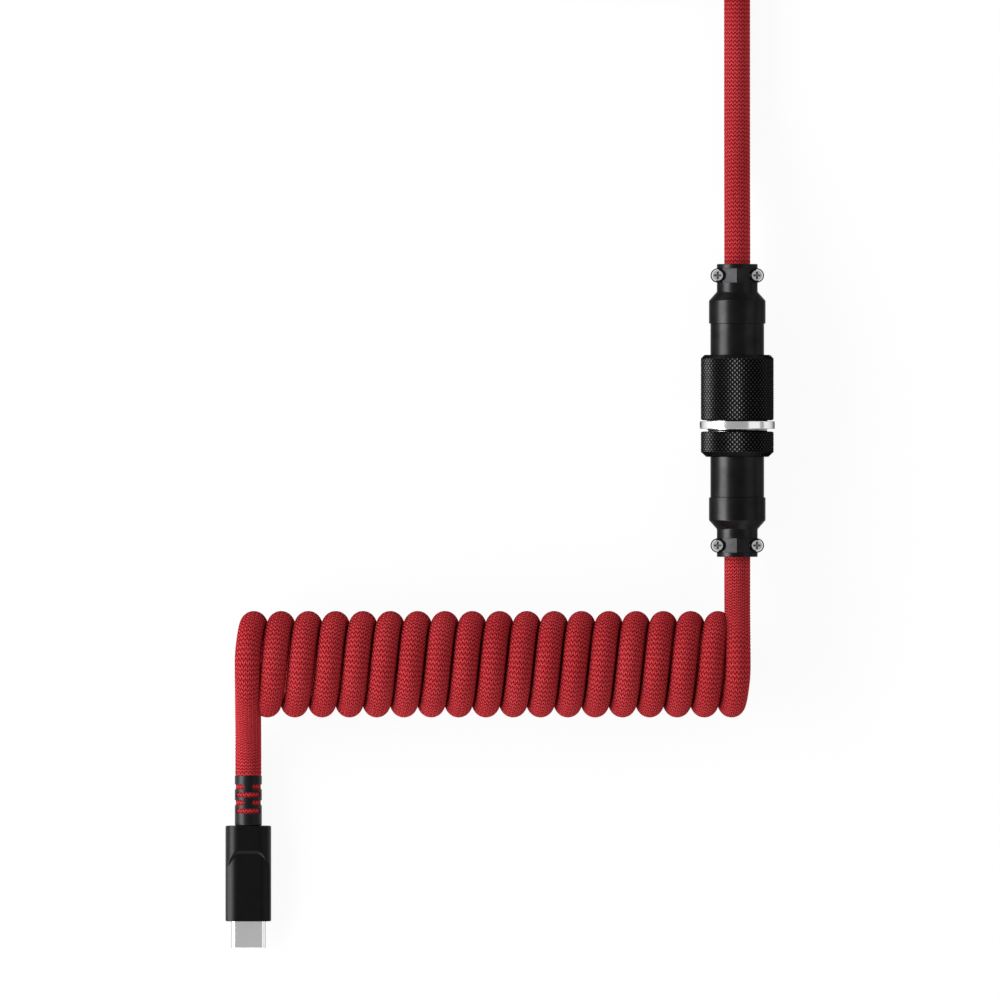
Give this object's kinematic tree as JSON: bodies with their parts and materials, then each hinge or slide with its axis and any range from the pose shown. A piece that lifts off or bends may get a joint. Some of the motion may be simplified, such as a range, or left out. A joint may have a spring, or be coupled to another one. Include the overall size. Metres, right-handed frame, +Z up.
{
  "type": "coiled keyboard cable with quick-disconnect connector",
  "caption": "Coiled, braided USB-C keyboard cable with a screw-locked inline quick-disconnect connector and a straight host cord.",
  "frame": {"origin": "on the surface the cable lies on, under the middle of the box of coil, connector and USB-C plug", "axes": "+X along the coil from the USB-C end to the connector, +Y along the connector from the coil towards the host cord, +Z up"},
  "size_m": [0.1318, 0.3288, 0.0255],
  "materials": {
    "braid": "woven, matte",
    "black_metal": "satin black anodised",
    "nickel": "bright nickel plate",
    "steel": "nickel-plated stamped steel",
    "gold": "gold plate",
    "copper": "tinned copper",
    "insulator": "moulded",
    "circuit_board": "solder mask",
    "black_rubber": "soft matte",
    "black_plastic": "fine satin texture",
    "webbing": "woven hook-and-loop tape"
  },
  "bodies": {
    "host_half": {"host_back_shell": "black_metal", "host_clamp_bar": "black_metal", "host_clamp_screw_left": "nickel", "host_clamp_screw_right": "nickel", "host_barrel": "black_metal", "host_insert": "insulator", "host_contact_1": "gold", "host_contact_2": "gold", "host_contact_3": "gold", "host_contact_4": "gold", "host_contact_5": "gold", "host_conductors": "copper", "host_cord": "braid", "host_storage_coil": "braid", "coil_tie": "webbing", "host_cord_end": "braid", "usb_a_boot": "black_rubber", "usb_a_overmold": "black_plastic", "usb_a_shell": "steel", "usb_a_tongue": "insulator", "usb_a_contact_1": "gold", "usb_a_contact_2": "gold", "usb_a_contact_3": "gold", "usb_a_contact_4": "gold", "usb_a_crimp": "steel"},
    "nut_washer": {"nut_thrust_washer": "steel"},
    "nut": {"coupling_nut": "black_metal"},
    "device_half": {"device_back_shell": "black_metal", "device_clamp_bar": "black_metal", "device_clamp_screw_left": "nickel", "device_clamp_screw_right": "nickel", "socket_body": "nickel", "device_barrel": "black_metal", "device_insert": "insulator", "device_pin_1": "gold", "device_pin_2": "gold", "device_pin_3": "gold", "device_pin_4": "gold", "device_pin_5": "gold", "device_conductors": "copper", "device_coil": "braid", "device_tail_to_connector": "braid"},
    "ring": {"lock_ring": "black_metal"},
    "plug_end": {"device_tail_to_plug": "braid", "usb_c_boot": "black_rubber", "usb_c_overmold": "black_plastic", "usb_c_shell": "steel", "usb_c_contact_carrier": "insulator", "usb_c_contacts_upper": "gold", "usb_c_contacts_lower": "gold", "usb_c_circuit_board": "circuit_board", "usb_c_crimp": "steel"}
  },
  "joints": [
    {"name": "nut_advance", "type": "slide", "parent": "host_half", "child": "nut_washer", "axis": [0, 1, 0], "range_m": [0, 0.0052]},
    {"name": "nut_turn", "type": "hinge", "parent": "nut_washer", "child": "nut", "pos_m": [0.05695, 0.0525, 0.009], "axis": [0, 1, 0], "range_deg": [0, 1800]},
    {"name": "halves_pull_apart", "type": "slide", "parent": "host_half", "child": "device_half", "axis": [0, -1, 0], "range_m": [0, 0.015]},
    {"name": "lock_ring_turn", "type": "hinge", "parent": "device_half", "child": "ring", "pos_m": [0.05695, 0.0389, 0.009], "axis": [0, -1, 0], "range_deg": [0, 90]},
    {"name": "coil_stretch", "type": "slide", "parent": "device_half", "child": "plug_end", "axis": [-1, 0, 0], "range_m": [0, 0.1], "stiffness_N_per_m": 60, "deforming": ["device_coil"]}
  ],
  "couplings": [
    {"joint": "nut_advance", "follows": "nut_turn", "m_per_rad": 0.00015915}
  ]
}
